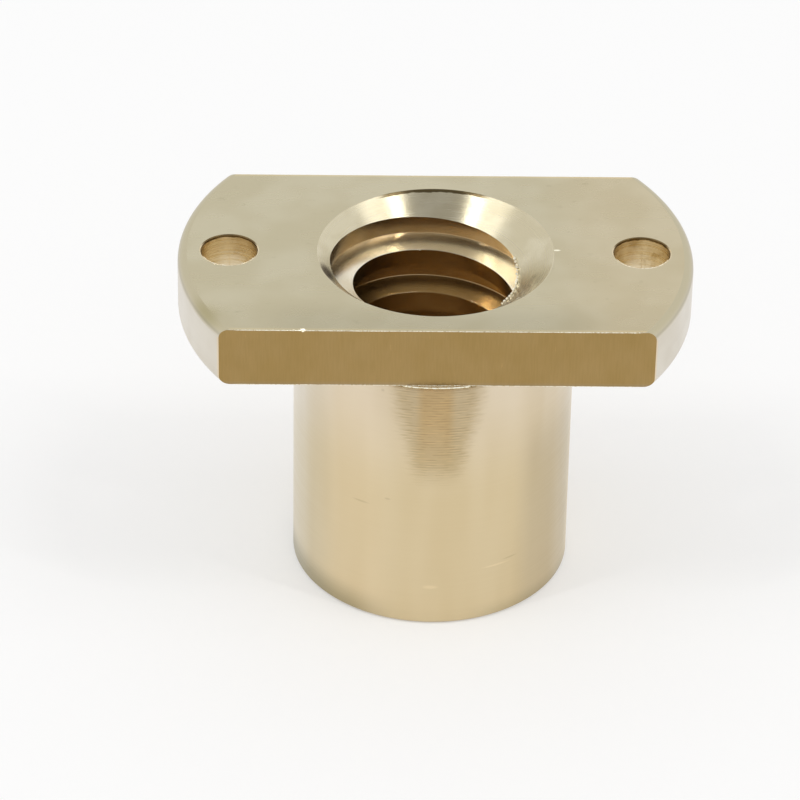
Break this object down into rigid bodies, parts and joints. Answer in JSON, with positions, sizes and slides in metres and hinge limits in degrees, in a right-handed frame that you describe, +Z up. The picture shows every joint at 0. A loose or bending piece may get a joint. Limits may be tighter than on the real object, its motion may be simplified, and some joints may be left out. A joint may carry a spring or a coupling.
{
  "type": "lead screw nut",
  "caption": "Flanged lead screw nut: a round barrel with an internal trapezoidal thread under a flange with milled flats and fixing holes.",
  "frame": {"origin": "centre of the barrel's free end, which the nut stands on", "axes": "+Z up the screw axis towards the flange, +X through the two fixing holes, +Y across the milled flats"},
  "size_m": [0.05, 0.029, 0.0348],
  "materials": {
    "brass": "fine turned and milled, semi-bright"
  },
  "bodies": {
    "root": {"nut": "brass"}
  },
  "joints": []
}
